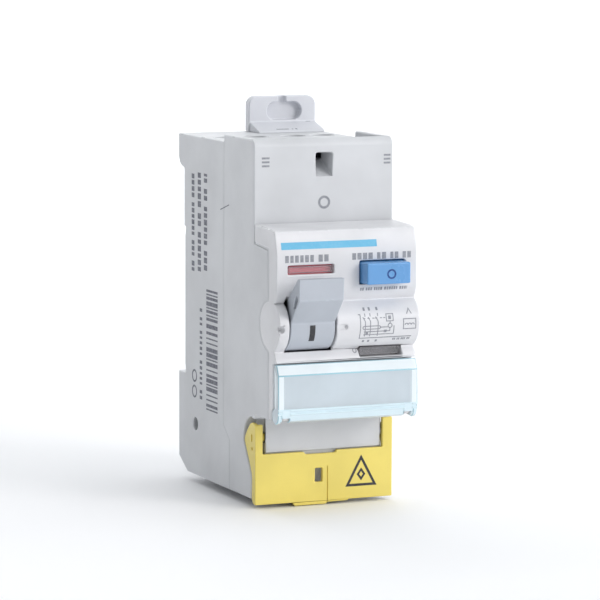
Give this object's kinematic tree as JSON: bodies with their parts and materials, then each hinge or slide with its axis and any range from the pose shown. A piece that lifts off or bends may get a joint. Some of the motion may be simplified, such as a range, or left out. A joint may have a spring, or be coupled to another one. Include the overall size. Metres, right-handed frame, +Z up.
{
  "type": "residual current device",
  "caption": "Modular residual current device for a DIN rail, with a toggle, test button, status windows, label flap, terminal shutter and rail clip.",
  "frame": {"origin": "middle of the rail seating plane, on the rail centre line and the device mid width", "axes": "+X to the right across the modules, +Y into the wall, +Z up; the front faces -Y"},
  "size_m": [0.035, 0.0684, 0.0926],
  "materials": {
    "shell": "moulded light grey polyamide, fine satin",
    "cover": "moulded light grey polyamide, satin",
    "toggle": "moulded mid grey polyamide, satin",
    "blue": "moulded blue, glossy",
    "yellow": "moulded yellow, satin",
    "white": "moulded or printed white, matt",
    "red": "matt red",
    "dark": "moulded dark grey",
    "green": "printed board or green flag",
    "brown": "enamelled winding or body",
    "copper": null,
    "brass": "brass, bright",
    "steel": "zinc plated steel",
    "ferrite": "dark magnetic core",
    "clear": "clear moulded plastic, faint blue, glossy"
  },
  "bodies": {
    "root": {"rear_base": "shell", "front_housing": "shell", "front_cover": "cover", "contact_window_lens": "clear", "fault_window_lens": "clear", "label_card": "white", "pole_barrier": "white", "upper_conductor_left": "copper", "upper_conductor_right": "copper", "upper_clamp_spring_left": "steel", "upper_clamp_spring_right": "steel", "primary_conductor_left": "copper", "primary_conductor_right": "copper", "toroid_core": "ferrite", "toroid_winding": "brown", "relay_housing": "dark", "trip_shaft": "steel", "relay_board": "green", "test_resistor": "brown", "test_contact_spring": "brass", "terminal_plate_left": "copper", "terminal_plate_right": "copper"},
    "toggle_body": {"toggle": "toggle", "toggle_shaft": "steel", "toggle_spring": "steel"},
    "link_body": {"toggle_link": "steel"},
    "carrier_body": {"contact_carrier": "dark", "moving_contact_left": "copper", "moving_contact_right": "copper", "main_spring": "steel"},
    "contact_flag_body": {"contact_flag": "red"},
    "test_button_body": {"test_button": "blue"},
    "plunger_body": {"relay_plunger": "brass"},
    "trip_lever_body": {"trip_lever": "white"},
    "fault_flag_body": {"fault_flag": "green"},
    "flap_body": {"label_flap": "clear"},
    "shutter_body": {"terminal_shutter": "yellow"},
    "clip_body": {"din_clip": "white"},
    "screw_left_body": {"terminal_screw_left": "steel"},
    "screw_right_body": {"terminal_screw_right": "steel"},
    "cage_left_body": {"terminal_cage_left": "brass"},
    "cage_right_body": {"terminal_cage_right": "brass"}
  },
  "joints": [
    {"name": "toggle_hinge", "type": "hinge", "parent": "root", "child": "toggle_body", "pos_m": [0, -0.0533, -0.0002], "axis": [1, 0, 0], "range_deg": [0, 80]},
    {"name": "link_hinge", "type": "hinge", "parent": "toggle_body", "child": "link_body", "pos_m": [0, -0.05015, -0.00266], "axis": [1, 0, 0], "range_deg": [-82, 0]},
    {"name": "carrier_hinge", "type": "hinge", "parent": "root", "child": "carrier_body", "pos_m": [0, -0.031, -0.003], "axis": [1, 0, 0], "range_deg": [-31, 0]},
    {"name": "contact_flag_slide", "type": "slide", "parent": "root", "child": "contact_flag_body", "axis": [0, 0, 1], "range_m": [0, 0.0027]},
    {"name": "test_button_slide", "type": "slide", "parent": "root", "child": "test_button_body", "axis": [0, 1, 0], "range_m": [0, 0.0015], "stiffness_N_per_m": 400, "springref_m": -0.001},
    {"name": "relay_plunger_slide", "type": "slide", "parent": "root", "child": "plunger_body", "axis": [0, -1, 0], "range_m": [0, 0.002]},
    {"name": "trip_lever_hinge", "type": "hinge", "parent": "root", "child": "trip_lever_body", "pos_m": [0, -0.0465, -0.0095], "axis": [-1, 0, 0], "range_deg": [0, 22]},
    {"name": "fault_flag_slide", "type": "slide", "parent": "root", "child": "fault_flag_body", "axis": [0, 0, 1], "range_m": [0, 0.0027]},
    {"name": "flap_hinge", "type": "hinge", "parent": "root", "child": "flap_body", "pos_m": [0, -0.0565, -0.0206], "axis": [1, 0, 0], "range_deg": [0, 95]},
    {"name": "shutter_hinge", "type": "hinge", "parent": "root", "child": "shutter_body", "pos_m": [0, -0.0426, -0.0276], "axis": [-1, 0, 0], "range_deg": [0, 85]},
    {"name": "clip_slide", "type": "slide", "parent": "root", "child": "clip_body", "axis": [0, 0, 1], "range_m": [0, 0.0035]},
    {"name": "screw_left_turn", "type": "hinge", "parent": "root", "child": "screw_left_body", "pos_m": [-0.0084, -0.0396, -0.036], "axis": [0, -1, 0], "range_deg": [0, 1440]},
    {"name": "cage_left_slide", "type": "slide", "parent": "root", "child": "cage_left_body", "axis": [0, 1, 0], "range_m": [0, 0.0036]},
    {"name": "screw_right_turn", "type": "hinge", "parent": "root", "child": "screw_right_body", "pos_m": [0.0084, -0.0396, -0.036], "axis": [0, -1, 0], "range_deg": [0, 1440]},
    {"name": "cage_right_slide", "type": "slide", "parent": "root", "child": "cage_right_body", "axis": [0, 1, 0], "range_m": [0, 0.0036]}
  ],
  "couplings": [
    {"joint": "link_hinge", "follows": "toggle_hinge", "ratio": -1.0175},
    {"joint": "carrier_hinge", "follows": "toggle_hinge", "ratio": -0.375},
    {"joint": "contact_flag_slide", "follows": "toggle_hinge", "m_per_rad": 0.001862},
    {"joint": "trip_lever_hinge", "follows": "relay_plunger_slide", "rad_per_m": 190},
    {"joint": "fault_flag_slide", "follows": "relay_plunger_slide", "ratio": 1.3},
    {"joint": "screw_left_turn", "follows": "cage_left_slide", "rad_per_m": 6981.3},
    {"joint": "screw_right_turn", "follows": "cage_right_slide", "rad_per_m": 6981.3}
  ]
}
